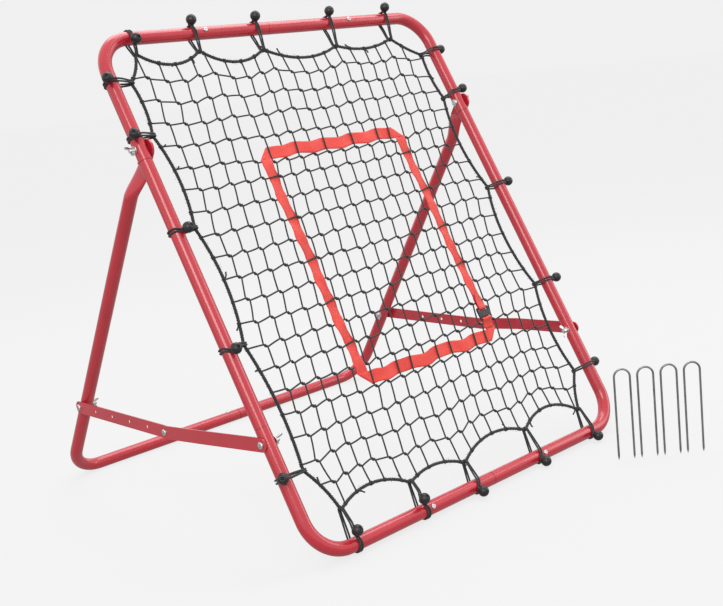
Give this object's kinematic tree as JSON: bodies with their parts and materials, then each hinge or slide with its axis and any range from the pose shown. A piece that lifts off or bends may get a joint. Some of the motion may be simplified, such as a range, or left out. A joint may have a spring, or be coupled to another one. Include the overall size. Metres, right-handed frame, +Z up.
{
  "type": "pitching target net",
  "caption": "Leaning tubular rebound frame with a bungee-hung square-mesh net, a woven-in webbing target, a hinged rear frame with folding struts, and wire ground pegs.",
  "frame": {"origin": "on the floor, under the middle of the whole outfit, pegs included", "axes": "+Z up; -Y towards the thrower; +X to the thrower's right as they face the net"},
  "size_m": [0.8917, 1.0504, 0.9141],
  "materials": {
    "red_powder_coat": "satin powder coat",
    "zinc_plate": "bright zinc plate",
    "black_ball_plastic": "moulded, semi-gloss",
    "black_buckle_plastic": "moulded, matte",
    "black_elastic_cord": "braided cover",
    "black_net_twine": "twisted twine",
    "black_border_rope": "laid rope with stray fibres",
    "orange_red_webbing": "flat woven",
    "peg_steel": "drawn wire"
  },
  "bodies": {
    "front_frame": {"front_corner_top_left": "red_powder_coat", "front_corner_top_right": "red_powder_coat", "front_corner_bottom_left": "red_powder_coat", "front_corner_bottom_right": "red_powder_coat", "front_side_tube_left": "red_powder_coat", "front_side_tube_right": "red_powder_coat", "front_splice_top": "red_powder_coat", "front_splice_bottom": "red_powder_coat", "front_splice_screws": "zinc_plate", "pivot_bolts": "zinc_plate", "strut_front_bolts": "zinc_plate", "front_washers": "zinc_plate", "net_panel": "black_net_twine", "net_border_rope": "black_border_rope", "target_strap": "orange_red_webbing", "strap_buckle": "black_buckle_plastic", "bungee_loops_top": "black_elastic_cord", "bungee_loops_bottom": "black_elastic_cord", "bungee_loops_left": "black_elastic_cord", "bungee_loops_right": "black_elastic_cord", "bungee_balls_top": "black_ball_plastic", "bungee_balls_bottom": "black_ball_plastic", "bungee_balls_left": "black_ball_plastic", "bungee_balls_right": "black_ball_plastic"},
    "rear_frame": {"rear_leg_left": "red_powder_coat", "rear_leg_right": "red_powder_coat", "rear_corner_left": "red_powder_coat", "rear_corner_right": "red_powder_coat", "rear_splice": "red_powder_coat", "rear_splice_screws": "zinc_plate", "strut_rear_bolts": "zinc_plate", "rear_washers": "zinc_plate"},
    "front_strut_left": {"strut_front_left": "red_powder_coat", "knee_rivet_head_left": "zinc_plate"},
    "rear_strut_left": {"strut_rear_left": "red_powder_coat", "knee_rivet_tail_left": "zinc_plate"},
    "front_strut_right": {"strut_front_right": "red_powder_coat", "knee_rivet_head_right": "zinc_plate"},
    "rear_strut_right": {"strut_rear_right": "red_powder_coat", "knee_rivet_tail_right": "zinc_plate"},
    "nut_pivot_left": {"wing_nut_pivot_left": "zinc_plate"},
    "nut_pivot_right": {"wing_nut_pivot_right": "zinc_plate"},
    "nut_strut_front_left": {"wing_nut_strut_front_left": "zinc_plate"},
    "nut_strut_front_right": {"wing_nut_strut_front_right": "zinc_plate"},
    "nut_strut_rear_left": {"wing_nut_strut_rear_left": "zinc_plate"},
    "nut_strut_rear_right": {"wing_nut_strut_rear_right": "zinc_plate"},
    "peg_1": {"ground_peg_1": "peg_steel"},
    "peg_2": {"ground_peg_2": "peg_steel"},
    "peg_3": {"ground_peg_3": "peg_steel"},
    "peg_4": {"ground_peg_4": "peg_steel"}
  },
  "joints": [
    {"name": "frame_fold", "type": "hinge", "parent": "front_frame", "child": "rear_frame", "pos_m": [-0.0109, 0.06066, 0.68678], "axis": [-1, 0, 0], "range_deg": [0, 38]},
    {"name": "front_strut_left_pivot", "type": "hinge", "parent": "front_frame", "child": "front_strut_left", "pos_m": [-0.4315, -0.19585, 0.20026], "axis": [1, 0, 0], "range_deg": [0, 45.29]},
    {"name": "rear_strut_left_pivot", "type": "hinge", "parent": "rear_frame", "child": "rear_strut_left", "pos_m": [-0.4315, 0.40272, 0.17655], "axis": [-1, 0, 0], "range_deg": [0, 53.72]},
    {"name": "front_strut_right_pivot", "type": "hinge", "parent": "front_frame", "child": "front_strut_right", "pos_m": [0.43855, -0.19585, 0.20026], "axis": [1, 0, 0], "range_deg": [0, 45.29]},
    {"name": "rear_strut_right_pivot", "type": "hinge", "parent": "rear_frame", "child": "rear_strut_right", "pos_m": [0.43855, 0.40272, 0.17655], "axis": [-1, 0, 0], "range_deg": [0, 53.72]},
    {"name": "nut_pivot_left_turn", "type": "hinge", "parent": "front_frame", "child": "nut_pivot_left", "pos_m": [-0.43115, 0.06066, 0.68678], "axis": [-1, 0, 0], "continuous": true},
    {"name": "nut_pivot_right_turn", "type": "hinge", "parent": "front_frame", "child": "nut_pivot_right", "pos_m": [0.4137, 0.06066, 0.68678], "axis": [1, 0, 0], "continuous": true},
    {"name": "nut_strut_front_left_turn", "type": "hinge", "parent": "front_frame", "child": "nut_strut_front_left", "pos_m": [-0.40615, -0.19585, 0.20026], "axis": [1, 0, 0], "continuous": true},
    {"name": "nut_strut_front_right_turn", "type": "hinge", "parent": "front_frame", "child": "nut_strut_front_right", "pos_m": [0.38435, -0.19585, 0.20026], "axis": [-1, 0, 0], "continuous": true},
    {"name": "nut_strut_rear_left_turn", "type": "hinge", "parent": "rear_frame", "child": "nut_strut_rear_left", "pos_m": [-0.4053, 0.40272, 0.17655], "axis": [1, 0, 0], "continuous": true},
    {"name": "nut_strut_rear_right_turn", "type": "hinge", "parent": "rear_frame", "child": "nut_strut_rear_right", "pos_m": [0.4132, 0.40272, 0.17655], "axis": [-1, 0, 0], "continuous": true},
    {"name": "peg_1_lift", "type": "slide", "parent": "front_frame", "child": "peg_1", "axis": [0, 0, 1], "range_m": [0, 0.2]},
    {"name": "peg_2_lift", "type": "slide", "parent": "front_frame", "child": "peg_2", "axis": [0, 0, 1], "range_m": [0, 0.2]},
    {"name": "peg_3_lift", "type": "slide", "parent": "front_frame", "child": "peg_3", "axis": [0, 0, 1], "range_m": [0, 0.2]},
    {"name": "peg_4_lift", "type": "slide", "parent": "front_frame", "child": "peg_4", "axis": [0, 0, 1], "range_m": [0, 0.2]}
  ],
  "couplings": [
    {"joint": "front_strut_left_pivot", "follows": "frame_fold", "ratio": 1.1866},
    {"joint": "rear_strut_left_pivot", "follows": "frame_fold", "ratio": 1.4085},
    {"joint": "front_strut_right_pivot", "follows": "frame_fold", "ratio": 1.1866},
    {"joint": "rear_strut_right_pivot", "follows": "frame_fold", "ratio": 1.4085}
  ]
}
